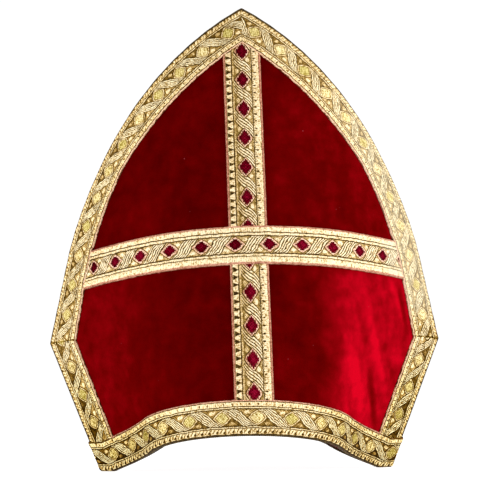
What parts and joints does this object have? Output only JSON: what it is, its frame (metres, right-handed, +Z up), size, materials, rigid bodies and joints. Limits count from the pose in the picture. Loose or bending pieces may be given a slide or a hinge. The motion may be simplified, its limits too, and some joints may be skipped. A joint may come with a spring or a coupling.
{
  "type": "bishop mitre",
  "caption": "Tall pointed two-panel ceremonial hat in red velvet with gold braid bands, open below for the head.",
  "frame": {"origin": "on the floor, at the middle of the hat", "axes": "+Z up, the front of the hat faces -Y, +X to the right as seen from the front"},
  "size_m": [0.2842, 0.1838, 0.326],
  "materials": {
    "velvet": "cotton velvet, soft pile",
    "lining": "plain satin lining",
    "gold_braid": "metallic gold braid",
    "ruby_braid": "metallic gold braid with ruby lozenges"
  },
  "bodies": {
    "root": {"front_panel": "velvet", "front_rim_band": "gold_braid", "front_cross_band": "ruby_braid", "front_centre_band_upper": "ruby_braid", "front_centre_band_lower": "ruby_braid", "front_edge_braid_left": "gold_braid", "front_edge_braid_right": "gold_braid", "front_side_braid_left": "gold_braid", "front_side_braid_right": "gold_braid", "back_panel": "velvet", "back_rim_band": "gold_braid", "back_cross_band": "ruby_braid", "back_centre_band_upper": "ruby_braid", "back_centre_band_lower": "ruby_braid", "back_edge_braid_left": "gold_braid", "back_edge_braid_right": "gold_braid", "back_side_braid_left": "gold_braid", "back_side_braid_right": "gold_braid", "crown_gusset": "lining"}
  },
  "joints": []
}
